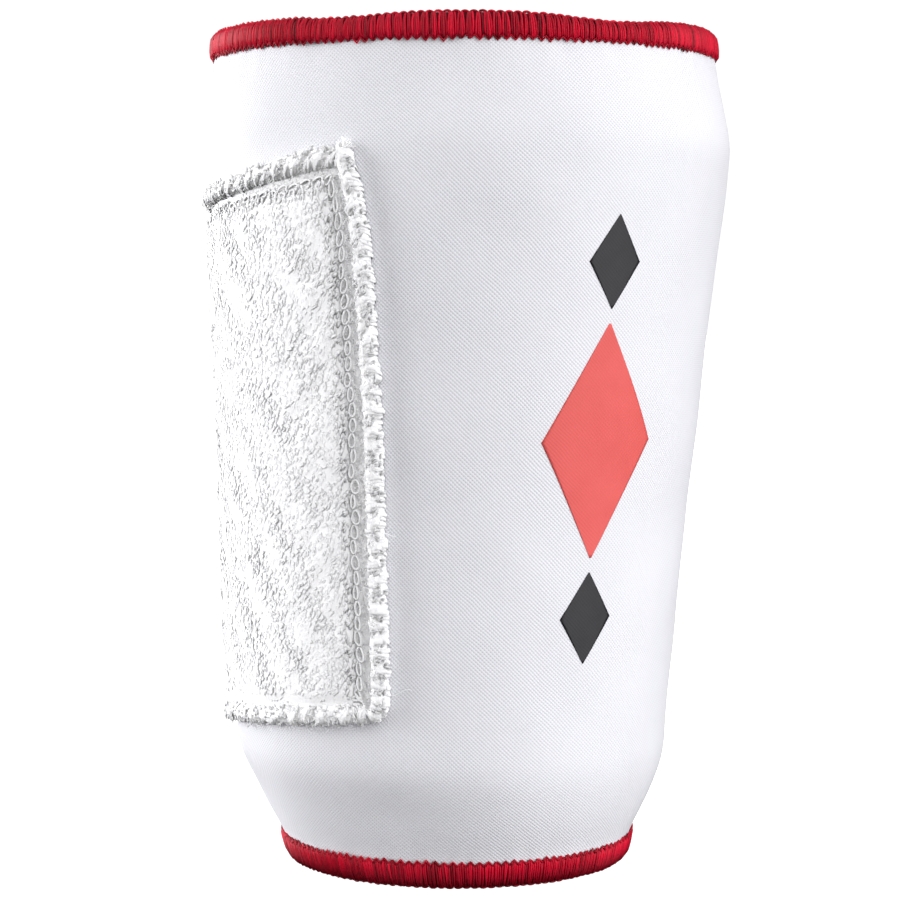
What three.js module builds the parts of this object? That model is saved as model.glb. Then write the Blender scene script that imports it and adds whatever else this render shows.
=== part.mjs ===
// Cricket arm guard, standing on its narrow cuff: a tapered sleeve of foam-backed knit with overlocked
// rims, a protective pad against the inside of its wall, a towelling patch on one side and a printed
// column of three lozenges on the other.
//
// Millimetres, +Z up along the arm. A bearing is an angle round the sleeve in degrees: 0 faces the front
// (-Y), 90 faces +X and -90 faces -X. A depth is measured square to the wall from its outer face, and
// is negative inside. Cloth pieces are cut flat first and are then wrapped round the sleeve.
import * as THREE from 'three';
import { mergeVertices } from 'three/addons/utils/BufferGeometryUtils.js';

// Sleeve
const sleeveLength = 180;
const swellHalfWidth = 59.3;
const depthToWidth = 0.9;
const wallThickness = 3;

// Gap between pieces that touch
const clearance = 0.3;

// Overlocked edging of both rims
const edgingHeight = 5.2;
const edgingThickness = 1.1;

// Pad inside the wall
const padThickness = 8;
const padEdgeThickness = 3.5;
const padFromBearing = -50;
const padToBearing = 118;

// Towelling patch and its raised hem
const patchWidth = 95;
const patchTilt = 6.4;
const towelThickness = 2.6;
const hemWidth = 4.6;
const hemThickness = 3.2;
const valleyThickness = 1.3;
const valleyWidth = 3;
const patchCornerCut = 2;

// Printed lozenges
const printBearing = 33;
const printThickness = 0.4;
const centreLozengeWidth = 26;
const centreLozengeHeight = 48;
const endLozengeWidth = 12;
const endLozengeHeight = 19;
const lozengeSpacing = 3;

// Facets: round the sleeve, the tallest as a share of the sleeve's length, and the length of the prints'
const roundSteps = 60;
const tallestStep = 0.1;
const printStep = 5;

// Outline of the sleeve's outer face as it stands: height as a share of sleeveLength, and the reach to
// the left (-X) and to the right (+X) as shares of swellHalfWidth.
const sections = [
  { height: 0.000, left: 0.622, right: 0.622 },
  { height: 0.030, left: 0.648, right: 0.644 },
  { height: 0.062, left: 0.703, right: 0.695 },
  { height: 0.087, left: 0.739, right: 0.728 },
  { height: 0.112, left: 0.779, right: 0.755 },
  { height: 0.137, left: 0.816, right: 0.772 },
  { height: 0.162, left: 0.823, right: 0.777 },
  { height: 0.237, left: 0.830, right: 0.796 },
  { height: 0.337, left: 0.840, right: 0.825 },
  { height: 0.436, left: 0.845, right: 0.852 },
  { height: 0.534, left: 0.853, right: 0.890 },
  { height: 0.632, left: 0.865, right: 0.919 },
  { height: 0.730, left: 0.880, right: 0.954 },
  { height: 0.802, left: 0.885, right: 0.985 },
  { height: 0.863, left: 0.890, right: 1.000 },
  { height: 0.899, left: 0.894, right: 0.983 },
  { height: 0.947, left: 0.894, right: 0.951 },
  { height: 0.970, left: 0.889, right: 0.939 },
  { height: 1.000, left: 0.880, right: 0.924 },
];

// Soft swells and hollows of the cloth between those outlines. Bearing and aroundSpread in degrees,
// height and upSpread as shares of sleeveLength, rise as a share of wallThickness.
const softForms = [
  { bearing: -24, height: 0.095, aroundSpread: 16, upSpread: 0.040, rise: -0.28 },
  { bearing: 26, height: 0.085, aroundSpread: 20, upSpread: 0.045, rise: 0.16 },
  { bearing: -12, height: 0.920, aroundSpread: 18, upSpread: 0.045, rise: -0.20 },
  { bearing: 62, height: 0.858, aroundSpread: 18, upSpread: 0.040, rise: 0.22 },
  { bearing: 150, height: 0.120, aroundSpread: 22, upSpread: 0.050, rise: -0.22 },
  { bearing: -150, height: 0.900, aroundSpread: 20, upSpread: 0.050, rise: -0.18 },
];

// Dips of the upper rim. Bearing and spread in degrees, drop as a share of edgingHeight.
const rimDips = [
  { bearing: 34, spread: 15, drop: 0.24 },
  { bearing: -27, spread: 12, drop: 0.15 },
  { bearing: 128, spread: 18, drop: 0.16 },
  { bearing: -140, spread: 20, drop: 0.20 },
];

// Where the pad's and the patch's ends lie, as shares of sleeveLength. The patch's are at its front edge,
// whose bearing there follows. The bow is how far that edge swings forward halfway, in degrees.
const padEnds = { low: 0.148, high: 0.866 };
const patchEnds = { low: 0.201, high: 0.846, lowBearing: -15.0, highBearing: -22.4, bow: 0.8 };
const printMiddle = 0.522;

const { degToRad, radToDeg, lerp, smoothstep } = THREE.MathUtils;

const reachAt = new THREE.CubicInterpolant(
  sections.map((row) => row.height),
  sections.flatMap((row) => [row.left, row.right]),
  2,
);

// The sleeve's half-width, half-depth and sideways shift at a height.
function sectionAt(height) {
  const [left, right] = reachAt.evaluate(height / sleeveLength);
  const halfWidth = (swellHalfWidth * (left + right)) / 2;
  const shift = (swellHalfWidth * (right - left)) / 2;
  return { halfWidth, halfDepth: halfWidth * depthToWidth, shift };
}

// A bell curve, 1 at the middle, with a bearing's difference taken the short way round.
function bell(offset, spread) {
  return Math.exp(-((offset / spread) ** 2));
}

function turnBetween(bearing, middle) {
  return THREE.MathUtils.euclideanModulo(bearing - middle + 180, 360) - 180;
}

function softRise(bearing, height) {
  const share = height / sleeveLength;
  const rises = softForms.map((form) => {
    const around = bell(turnBetween(bearing, form.bearing), form.aroundSpread);
    return form.rise * wallThickness * around * bell(share - form.height, form.upSpread);
  });
  return rises.reduce((sum, rise) => sum + rise, 0);
}

// How far the upper rim dips below its level line. The dip fades out down the edging.
function rimDrop(bearing, height) {
  const fadeStart = sleeveLength - 1.3 * edgingHeight;
  const drops = rimDips.map((dip) => dip.drop * bell(turnBetween(bearing, dip.bearing), dip.spread));
  const drop = edgingHeight * drops.reduce((sum, share) => sum + share, 0);
  return drop * smoothstep(height, fadeStart, sleeveLength);
}

// The point at a bearing, height and depth.
function sleevePoint(bearing, height, depth) {
  const { halfWidth, halfDepth, shift } = sectionAt(height);
  const side = Math.sin(degToRad(bearing));
  const front = Math.cos(degToRad(bearing));
  const outward = new THREE.Vector2(halfDepth * side, -halfWidth * front).normalize();
  const proud = depth + softRise(bearing, height);
  return new THREE.Vector3(
    shift + halfWidth * side + outward.x * proud,
    -halfDepth * front + outward.y * proud,
    height - rimDrop(bearing, height),
  );
}

// Merges a geometry's shared corners and moves each vertex to place(x, y, z).
function moved(geometry, place) {
  geometry.deleteAttribute('normal');
  geometry.deleteAttribute('uv');
  const merged = mergeVertices(geometry);
  const spots = merged.attributes.position;
  for (let index = 0; index < spots.count; index += 1) {
    const spot = place(spots.getX(index), spots.getY(index), spots.getZ(index));
    spots.setXYZ(index, spot.x, spot.y, spot.z);
  }
  merged.computeVertexNormals();
  return merged;
}

// Turns a closed outline of {depth, height} points once round, and calls place(turn, height, depth) for
// each vertex, with turn from 0 to 1.
function turned(outline, steps, place) {
  const radius = swellHalfWidth + sleeveLength;
  const points = outline.map(({ depth, height }) => new THREE.Vector2(radius + depth, height));
  const ring = new THREE.LatheGeometry([...points, points[0]], steps);
  return moved(ring, (x, y, z) => {
    const turn = THREE.MathUtils.euclideanModulo(Math.atan2(x, z) / (2 * Math.PI), 1);
    return place(turn, y, Math.hypot(x, z) - radius);
  });
}

function turnedRoundSleeve(outline) {
  return turned(outline, roundSteps, (turn, height, depth) => sleevePoint(360 * turn, height, depth));
}

// A flat piece of cloth with crowded lines near its edges: place gets across and up from -1 to 1, and
// face, 1 on its outer side and 0 on its inner side.
function flatPiece(acrossSteps, upSteps, place) {
  const crowd = (share) => Math.sin((share * Math.PI) / 2);
  const slab = new THREE.BoxGeometry(2, 2, 1, acrossSteps, upSteps, 1);
  return moved(slab, (x, y, z) => place(crowd(x), crowd(y), z + 0.5));
}

// Heights of the sleeve's rows: each section, and even steps between those that lie far apart.
function rowHeights() {
  const shares = [sections[0].height];
  for (let index = 1; index < sections.length; index += 1) {
    const from = sections[index - 1].height;
    const to = sections[index].height;
    const steps = Math.ceil((to - from) / tallestStep);
    for (let step = 1; step <= steps; step += 1) {
      shares.push(lerp(from, to, step / steps));
    }
  }
  return shares.map((share) => share * sleeveLength);
}

// The cloth ends inside the fold of the edging, a clearance short of it.
function sleeve() {
  const fold = edgingThickness + clearance;
  const low = fold;
  const high = sleeveLength - fold;
  const between = rowHeights().filter((height) => height > low + 1 && height < high - 1);
  const heights = [low, ...between, high];
  const outer = heights.map((height) => ({ depth: 0, height }));
  const inner = heights.map((height) => ({ depth: -wallThickness, height })).reverse();
  return turnedRoundSleeve([...inner, ...outer]);
}

// Edging of thread wrapped over the rim at a height, a U in section. Away is the distance from the rim,
// up (1) or down (-1) the sleeve.
function edging(rimHeight, direction) {
  const near = clearance;
  const far = clearance + edgingThickness;
  const crown = far + edgingThickness / 4;
  const foldInside = edgingThickness;
  const shoulder = edgingThickness / 2;
  const outerLeg = [
    { depth: near, away: edgingHeight },
    { depth: far, away: edgingHeight - shoulder },
    { depth: crown, away: edgingHeight / 2 },
    { depth: far, away: shoulder },
    { depth: near, away: 0 },
  ];
  const mirrored = (leg) => leg.map(({ depth, away }) => ({ depth: -wallThickness - depth, away })).reverse();
  const inside = [
    { depth: -wallThickness - near, away: foldInside },
    { depth: near, away: foldInside },
  ];
  const section = [...outerLeg, ...mirrored(outerLeg), ...inside];
  const outline = section.map(({ depth, away }) => ({ depth, height: rimHeight + direction * away }));
  return turnedRoundSleeve(direction > 0 ? outline.reverse() : outline);
}

// The pad swells quickly from its thin edge and is cut round at its corners.
function guardPad() {
  const middleBearing = (padFromBearing + padToBearing) / 2;
  const halfTurn = (padToBearing - padFromBearing) / 2;
  const middleHeight = (sleeveLength * (padEnds.low + padEnds.high)) / 2;
  const halfHeight = (sleeveLength * (padEnds.high - padEnds.low)) / 2;
  const cornerCut = 0.1;
  return flatPiece(16, 12, (across, up, face) => {
    const swell = (1 - across ** 6) * (1 - up ** 6);
    const thickness = lerp(padEdgeThickness, padThickness, swell);
    const bearing = middleBearing + halfTurn * across * (1 - cornerCut * up ** 6);
    const height = middleHeight + halfHeight * up * (1 - cornerCut * across ** 6);
    return sleevePoint(bearing, height, -wallThickness - clearance - (1 - face) * thickness);
  });
}

// A point of the patch: across and up in millimetres from its middle, +across towards the front edge.
function patchPoint(across, up, rise) {
  const patchHeight = sleeveLength * (patchEnds.high - patchEnds.low);
  const acrossShare = across / (patchWidth / 2);
  const upShare = up / (patchHeight / 2);
  const cut = patchCornerCut * Math.abs(acrossShare * upShare) ** 14;
  const back = patchWidth / 2 - across + Math.sign(across) * cut;
  const upward = up - Math.sign(up) * cut;
  const share = upward / patchHeight + 0.5;
  const frontHeight = sleeveLength * lerp(patchEnds.low, patchEnds.high, share);
  const bowed = patchEnds.bow * 4 * share * (1 - share);
  const frontBearing = lerp(patchEnds.lowBearing, patchEnds.highBearing, share) + bowed;
  const height = frontHeight - back * Math.sin(degToRad(patchTilt));
  const { halfWidth, halfDepth } = sectionAt(height);
  const bearing = frontBearing - radToDeg(back / ((halfWidth + halfDepth) / 2));
  return sleevePoint(bearing, height, clearance + rise);
}

// Towelling inside the hem, sewn down in a valley all round.
function towelPatch() {
  const inset = hemWidth + clearance;
  const halfAcross = patchWidth / 2 - inset;
  const halfUp = (sleeveLength * (patchEnds.high - patchEnds.low)) / 2 - inset;
  return flatPiece(16, 16, (across, up, face) => {
    const fromEdge = Math.min(halfAcross * (1 - Math.abs(across)), halfUp * (1 - Math.abs(up)));
    const lift = smoothstep(fromEdge, valleyWidth / 4, valleyWidth * 1.5);
    const thickness = lerp(valleyThickness, towelThickness, lift);
    return patchPoint(halfAcross * across, halfUp * up, face * thickness);
  });
}

// The hem is a round-topped strip that runs round the patch's four sides, mitred at the corners.
function patchHem() {
  const halfAcross = patchWidth / 2;
  const halfUp = (sleeveLength * (patchEnds.high - patchEnds.low)) / 2;
  const sides = [
    { steps: 14, from: [1, -1], to: [1, 1] },
    { steps: 12, from: [1, 1], to: [-1, 1] },
    { steps: 14, from: [-1, 1], to: [-1, -1] },
    { steps: 12, from: [-1, -1], to: [1, -1] },
  ];
  const stations = sides.flatMap(({ steps, from, to }) =>
    Array.from({ length: steps }, (_, step) => [
      lerp(from[0], to[0], step / steps),
      lerp(from[1], to[1], step / steps),
    ]),
  );
  const strip = [
    { inset: 0, rise: 0 },
    { inset: 0, rise: 0.5 },
    { inset: 0.22, rise: 0.92 },
    { inset: 0.55, rise: 1 },
    { inset: 0.9, rise: 0.7 },
    { inset: 1, rise: 0 },
  ];
  const outline = strip.map(({ inset, rise }) => ({ depth: -inset * hemWidth, height: rise * hemThickness }));
  return turned(outline, stations.length, (turn, rise, depth) => {
    const [across, up] = stations[Math.round(turn * stations.length) % stations.length];
    return patchPoint(across * (halfAcross + depth), up * (halfUp + depth), rise);
  });
}

// A lozenge of print: lift is how far its middle lies above the column's middle.
function lozenge(width, height, lift) {
  const tipShare = 0.06;
  const middle = sleeveLength * printMiddle + lift;
  const acrossSteps = Math.ceil(width / printStep);
  const upSteps = 2 * Math.ceil(height / printStep / 2);
  return flatPiece(acrossSteps, upSteps, (across, up, face) => {
    const narrowing = lerp(1, tipShare, Math.abs(up));
    const { halfWidth, halfDepth } = sectionAt(middle);
    const turn = radToDeg(((width / 2) * narrowing * across) / ((halfWidth + halfDepth) / 2));
    return sleevePoint(printBearing + turn, middle + (height / 2) * up, clearance + face * printThickness);
  });
}

const cloth = (colour) => new THREE.MeshStandardMaterial({ color: colour, roughness: 0.9, metalness: 0 });
const film = (colour) => new THREE.MeshStandardMaterial({ color: colour, roughness: 0.45, metalness: 0 });

const knitWhite = cloth(0xeeeef2);
const liningWhite = cloth(0xe4e4e6);
const threadRed = cloth(0xc5102e);
const towelWhite = cloth(0xf6f6f5);
const printCoral = film(0xf2736f);
const printBlack = film(0x2b292c);

const endLift = (centreLozengeHeight + endLozengeHeight) / 2 + lozengeSpacing;

const guard = new THREE.Group();
const pieces = [
  { name: 'sleeve', shape: sleeve(), material: knitWhite },
  { name: 'guard_pad', shape: guardPad(), material: liningWhite },
  { name: 'top_edging', shape: edging(sleeveLength, -1), material: threadRed },
  { name: 'bottom_edging', shape: edging(0, 1), material: threadRed },
  { name: 'towel_patch', shape: towelPatch(), material: towelWhite },
  { name: 'patch_hem', shape: patchHem(), material: towelWhite },
  { name: 'print_centre', shape: lozenge(centreLozengeWidth, centreLozengeHeight, 0), material: printCoral },
  { name: 'print_upper', shape: lozenge(endLozengeWidth, endLozengeHeight, endLift), material: printBlack },
  { name: 'print_lower', shape: lozenge(endLozengeWidth, endLozengeHeight, -endLift), material: printBlack },
];
pieces.forEach(({ name, shape, material }) => {
  const mesh = new THREE.Mesh(shape, material);
  mesh.name = name;
  guard.add(mesh);
});

// The origin is the middle of the whole guard's footprint, on the surface that it stands on.
const reach = new THREE.Box3().setFromObject(guard);
const middle = reach.getCenter(new THREE.Vector3());
guard.position.set(-middle.x, -middle.y, -reach.min.z);

export default guard;
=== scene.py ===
import math

import bmesh
import bpy
import numpy as np
from bpy.props import FloatProperty, FloatVectorProperty, IntProperty, PointerProperty
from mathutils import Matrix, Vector
from mathutils.bvhtree import BVHTree


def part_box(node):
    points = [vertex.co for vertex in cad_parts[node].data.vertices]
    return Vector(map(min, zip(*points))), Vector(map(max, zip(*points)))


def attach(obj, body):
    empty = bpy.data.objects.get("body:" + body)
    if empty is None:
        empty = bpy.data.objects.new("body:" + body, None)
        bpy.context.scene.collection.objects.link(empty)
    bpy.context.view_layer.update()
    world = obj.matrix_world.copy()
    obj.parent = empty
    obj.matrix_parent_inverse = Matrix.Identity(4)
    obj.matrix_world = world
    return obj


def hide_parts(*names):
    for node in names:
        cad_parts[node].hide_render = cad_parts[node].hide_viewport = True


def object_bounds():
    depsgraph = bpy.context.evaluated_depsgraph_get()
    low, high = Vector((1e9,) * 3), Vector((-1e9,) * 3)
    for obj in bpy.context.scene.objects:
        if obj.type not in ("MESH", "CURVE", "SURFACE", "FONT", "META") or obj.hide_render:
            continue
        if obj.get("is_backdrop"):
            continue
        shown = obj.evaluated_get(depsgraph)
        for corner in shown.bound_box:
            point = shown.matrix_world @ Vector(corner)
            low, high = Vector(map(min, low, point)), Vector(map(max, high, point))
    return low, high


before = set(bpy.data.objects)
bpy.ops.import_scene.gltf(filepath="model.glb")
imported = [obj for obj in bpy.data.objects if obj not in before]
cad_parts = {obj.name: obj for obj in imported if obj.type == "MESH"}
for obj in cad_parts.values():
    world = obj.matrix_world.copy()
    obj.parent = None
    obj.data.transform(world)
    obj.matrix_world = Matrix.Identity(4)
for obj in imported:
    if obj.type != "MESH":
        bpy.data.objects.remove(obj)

bl_info = {
    "name": "Arm guard finish",
    "version": (1, 0, 0),
    "blender": (4, 5, 0),
    "location": "View3D > Sidebar > Arm guard",
    "description": "Dresses the solid arm guard in knit, towelling, overlock thread and print",
    "category": "Object",
}

# Metres and degrees. A bearing goes round the sleeve: 0 faces the front (-Y), 90 faces +X. A depth is
# measured level and square to the wall from its outer face, and is negative inside.
MM = 0.001
MID_WALL = -1.5 * MM
# A small step, by which the way across a thread is found.
NUDGE = 1e-4
# Rays cast round the wall at each height, to read its shape.
FACETS = 60
CAD_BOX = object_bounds()
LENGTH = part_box("top_edging")[1].z

SEEDS = {"cloth": 11, "edging": 23, "pile": 37, "hem": 41, "fuzz": 53, "seam": 61, "pad": 71}

# The sleeve's outer face, which main() reads from its solid.
WALL = None


# Sizes and colours


def millimetres(name, description, value, low=0.0, high=1.0):
    """A length property whose default is given in millimetres."""
    return FloatProperty(
        name=name, description=description, default=value * MM, min=low, max=high,
        subtype="DISTANCE", unit="LENGTH", precision=5,
    )


def colour(name, description, value):
    """A colour property, in linear values."""
    return FloatVectorProperty(
        name=name, description=description, default=value, min=0.0, max=1.0, size=3, subtype="COLOR",
    )


class KnitSizes(bpy.types.PropertyGroup):
    wall: millimetres("Wall", "Thickness of the foam-backed knit", 3.0)
    pitch: millimetres("Knit pitch", "Spacing of the knit's holes along a row", 0.82)
    ripple: millimetres("Ripple", "Height of the cloth's slight unevenness", 0.11)
    pucker: millimetres("Pucker", "Height of the puckers beside the overlocked rims", 0.10)
    white: colour("Knit white", "The face yarn", (0.79, 0.79, 0.82))
    hollow: colour("Knit holes", "The shade between the stitches", (0.45, 0.45, 0.52))
    lining: colour("Lining", "The inner face and the pad's cover", (0.70, 0.70, 0.72))


class EdgingSizes(bpy.types.PropertyGroup):
    height: millimetres("Band", "How far the overlock reaches from the rim", 5.2)
    pitch: millimetres("Stitch pitch", "From one overlock stitch to the next", 1.66)
    strand: millimetres("Strand", "Radius of one strand of thread", 0.25)
    strands: IntProperty(name="Strands", description="Strands in each stitch", default=4, min=2, max=6)
    tooth: millimetres("Tooth", "How far the zigzag thread reaches past the band", 0.95)
    deep: colour("Deep red", "Thread in the shade", (0.135, 0.0003, 0.005))
    bright: colour("Bright red", "Thread in the light", (0.70, 0.002, 0.030))


class PatchSizes(bpy.types.PropertyGroup):
    width: millimetres("Width", "Patch, round the sleeve", 95.0)
    low: FloatProperty(name="Low end", description="Front corner, share of the length", default=0.201)
    high: FloatProperty(name="High end", description="Front corner, share of the length", default=0.846)
    low_bearing: FloatProperty(name="Low bearing", description="Front edge, low, degrees", default=-15.0)
    high_bearing: FloatProperty(name="High bearing", description="Front edge, high, degrees", default=-22.4)
    bow: FloatProperty(name="Bow", description="Swing of the front edge halfway, degrees", default=0.8)
    tilt: FloatProperty(name="Tilt", description="Fall of the patch towards the back, degrees", default=6.4)
    gap: millimetres("Gap", "Clearance over the sleeve's solid", 0.3)
    peak: millimetres("Peak", "How far the upper front corner is drawn up", 2.2)
    lean_in: millimetres("Lean", "How far the upper front corner is drawn back", 3.2)
    corner_top: millimetres("Top corner", "Radius of the upper front corner", 1.6)
    corner_low: millimetres("Low corner", "Radius of the lower front corner", 4.6)
    corner_back: millimetres("Back corners", "Radius of both back corners", 4.0)
    hem_front: millimetres("Front hem", "Width of the hem at the front edge", 3.7)
    hem_top: millimetres("Top hem", "Width of the hem at the top", 3.9)
    hem_low: millimetres("Low hem", "Width of the hem at the bottom", 4.9)
    hem_rise: millimetres("Hem rise", "Height of the hem over the wall", 3.4)
    chain: millimetres("Chain stitch", "How far inside the patch's edge the chain stitch runs", 5.9)
    loop_pitch: millimetres("Loop pitch", "From one terry loop to the next", 0.88)
    loop_yarn: millimetres("Loop yarn", "Half the width of a terry loop's yarn", 0.38)
    loop_rise: millimetres("Loop rise", "Height of a terry loop over the ground cloth", 0.16)
    white: colour("Towel white", "The loops and the hem's yarn", (0.975, 0.975, 0.975))


class PrintSizes(bpy.types.PropertyGroup):
    bearing: FloatProperty(name="Bearing", description="Where the column of lozenges faces", default=33.0)
    middle: FloatProperty(name="Middle", description="Share of the length", default=0.522)
    film: millimetres("Film", "Thickness of the transfer film", 0.10)
    width: millimetres("Centre width", "Width of the middle lozenge", 26.0)
    height: millimetres("Centre height", "Height of the middle lozenge", 48.0)
    end_width: millimetres("End width", "Width of the upper and lower lozenges", 12.0)
    end_height: millimetres("End height", "Height of the upper and lower lozenges", 19.0)
    spacing: millimetres("Spacing", "Between the lozenges' tips", 3.0)
    coral: colour("Coral", "Film of the middle lozenge", (0.72, 0.103, 0.094))
    black: colour("Black", "Film of the end lozenges", (0.014, 0.013, 0.015))


class GuardSettings(bpy.types.PropertyGroup):
    knit: PointerProperty(type=KnitSizes)
    edging: PointerProperty(type=EdgingSizes)
    patch: PointerProperty(type=PatchSizes)
    prints: PointerProperty(type=PrintSizes)


def settings():
    return bpy.context.scene.arm_guard


# The wall that everything follows


def smooth(value, low=0.0, high=1.0):
    share = np.clip((np.asarray(value, float) - low) / (high - low), 0.0, 1.0)
    return share * share * (3.0 - 2.0 * share)


def finer_round(rows, factor=6):
    """Fills in between bearings with the smooth wave that passes through them."""
    count = rows.shape[-1]
    waves = np.fft.rfft(rows, axis=-1)
    return np.fft.irfft(waves, n=count * factor, axis=-1) * factor


def tree_of(node):
    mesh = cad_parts[node].data
    corners = [vertex.co.copy() for vertex in mesh.vertices]
    return BVHTree.FromPolygons(corners, [tuple(face.vertices) for face in mesh.polygons])


class Wall:
    """The sleeve's outer face, read from its solid: an ellipse at each height and what stands off it."""

    step = 1.0 * MM
    reach = 0.2

    def __init__(self):
        tree = tree_of("sleeve")
        low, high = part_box("sleeve")
        self.low = low.z + 0.6 * MM
        heights = np.arange(self.low, high.z - 2.2 * MM, self.step)
        middle = (low + high) / 2
        rows = []
        for height in heights:
            left, right = (self._hit(tree, middle, height, (side, 0.0))[0] for side in (-1, 1))
            centre = Vector(((left + right) / 2, middle.y))
            front, back = (self._hit(tree, centre, height, (0.0, side))[1] for side in (-1, 1))
            rows.append(((right - left) / 2, (left + right) / 2, (back - front) / 2, (front + back) / 2))
        self.rows = self._smoothed(np.array(rows))
        self.count = len(heights)
        stands = np.zeros((self.count, FACETS))
        for index, height in enumerate(heights):
            half_width, shift, half_depth, centre = self.rows[index]
            for facet in range(FACETS):
                turn = math.radians(facet * 360 / FACETS)
                side, front = math.sin(turn), math.cos(turn)
                outward = Vector((half_depth * side, -half_width * front)).normalized()
                spot = Vector((shift + half_width * side, centre - half_depth * front))
                start = spot + outward * self.reach
                hit = tree.ray_cast(Vector((*start, height)), Vector((*-outward, 0.0)))[0]
                stands[index, facet] = (hit.xy - spot) @ outward
        self.stands = finer_round(self._smoothed(stands))
        self.dips = np.zeros(FACETS)
        rim = tree_of("top_edging")
        dips = []
        for facet in range(FACETS):
            x, y, _ = self.place(facet * 360 / FACETS, LENGTH - 4 * MM, MID_WALL)
            hit = rim.ray_cast(Vector((x, y, LENGTH + 0.05)), Vector((0, 0, -1)))[0]
            dips.append(LENGTH - hit.z)
        self.dips = finer_round(np.array(dips))

    def _hit(self, tree, centre, height, side):
        start = Vector((centre[0] + side[0] * self.reach, centre[1] + side[1] * self.reach, height))
        return tree.ray_cast(start, Vector((-side[0], -side[1], 0.0)))[0]

    def _smoothed(self, rows, spread=2.4):
        """Rounds the facets' kinks over a few millimetres of height."""
        span = int(3 * spread)
        weights = np.exp(-0.5 * (np.arange(-span, span + 1) / spread) ** 2)
        weights /= weights.sum()
        reach = np.arange(1, span + 1)[:, None]
        below = rows[0] + (rows[0] - rows[4]) / 4 * reach[::-1]
        above = rows[-1] + (rows[-1] - rows[-5]) / 4 * reach
        padded = np.concatenate((below, rows, above))
        return np.stack([np.convolve(column, weights, "valid") for column in padded.T], axis=1)

    def drop(self, bearing, height):
        """How far the upper rim dips there."""
        spot = np.mod(bearing, 360.0) / 360.0 * len(self.dips)
        first = np.floor(spot).astype(int)
        share = spot - first
        dips = self.dips[first % len(self.dips)] * (1 - share)
        dips = dips + self.dips[(first + 1) % len(self.dips)] * share
        fade = 1.3 * settings().edging.height
        return dips * smooth(height, LENGTH - fade, LENGTH)

    def _row(self, height):
        spot = (height - self.low) / self.step
        first = np.clip(np.floor(spot).astype(int), 0, self.count - 2)
        return first, spot - first

    def radius(self, height):
        """Half of the mean width at a height, by which cloth is wrapped round."""
        first, share = self._row(np.asarray(height, float))
        row = self.rows[first] * (1 - share[..., None]) + self.rows[first + 1] * share[..., None]
        return (row[..., 0] + row[..., 2]) / 2

    def place(self, bearing, height, depth=0.0):
        given = (np.asarray(value, float) for value in (bearing, height, depth))
        bearing, height, depth = np.broadcast_arrays(*given)
        height = height - self.drop(bearing, height)
        first, share = self._row(height)
        row = self.rows[first] * (1 - share[..., None]) + self.rows[first + 1] * share[..., None]
        half_width, shift, half_depth, centre = np.moveaxis(row, -1, 0)
        fine = self.stands.shape[1]
        spot = np.mod(bearing, 360.0) / 360.0 * fine
        column = np.floor(spot).astype(int)
        part = spot - column
        near, far = column % fine, (column + 1) % fine
        lower = self.stands[first, near] * (1 - part) + self.stands[first, far] * part
        upper = self.stands[first + 1, near] * (1 - part) + self.stands[first + 1, far] * part
        proud = depth + lower * (1 - share) + upper * share
        turn = np.radians(bearing)
        side, front = np.sin(turn), np.cos(turn)
        out_x, out_y = half_depth * side, -half_width * front
        size = np.hypot(out_x, out_y)
        x = shift + half_width * side + out_x / size * proud
        y = centre - half_depth * front + out_y / size * proud
        return np.stack((x, y, height), axis=-1)


def cloth_rise(bearing, height):
    """The slight unevenness of the knit, with puckers that fade away from the overlocked rims."""
    sizes = settings().knit
    random = np.random.default_rng(SEEDS["cloth"])
    turn = np.radians(bearing)
    rise = np.zeros(np.broadcast(bearing, height).shape)
    for _ in range(14):
        around = random.integers(2, 15)
        upward = random.uniform(-1, 1) * 2 * math.pi / (22 * MM)
        rise = rise + np.cos(around * turn + upward * height + random.uniform(0, 6.28))
    rise = rise * sizes.ripple / 4
    for rim, reach in ((LENGTH - 5 * MM, 5 * MM), (5 * MM, 4 * MM)):
        wave = np.cos(61 * turn + 1.3 * np.sin(9 * turn)) + 0.7 * np.cos(37 * turn + 2 * np.sin(5 * turn))
        rise = rise + sizes.pucker * wave * np.exp(-(((height - rim) / reach) ** 2))
    return rise


# Making meshes


def curve_through(points, count, closed=False):
    """Evenly spread points on a smooth curve through a short table of corners."""
    points = np.asarray(points, float)
    total = len(points)
    spans = total if closed else total - 1
    fine = []
    for span in range(spans):
        ids = [span - 1, span, span + 1, span + 2]
        ids = [i % total for i in ids] if closed else [min(max(i, 0), total - 1) for i in ids]
        before, start, end, after = points[ids]
        for share in np.linspace(0, 1, 12, endpoint=False):
            fine.append(0.5 * (
                2 * start + (end - before) * share
                + (2 * before - 5 * start + 4 * end - after) * share ** 2
                + (3 * start - before - 3 * end + after) * share ** 3
            ))
    fine.append(points[0] if closed else points[-1])
    fine = np.array(fine)
    walk = np.concatenate(([0], np.cumsum(np.linalg.norm(np.diff(fine, axis=0), axis=1))))
    stops = np.linspace(0, walk[-1], count, endpoint=not closed)
    return np.stack([np.interp(stops, walk, column) for column in fine.T], axis=1)


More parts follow.
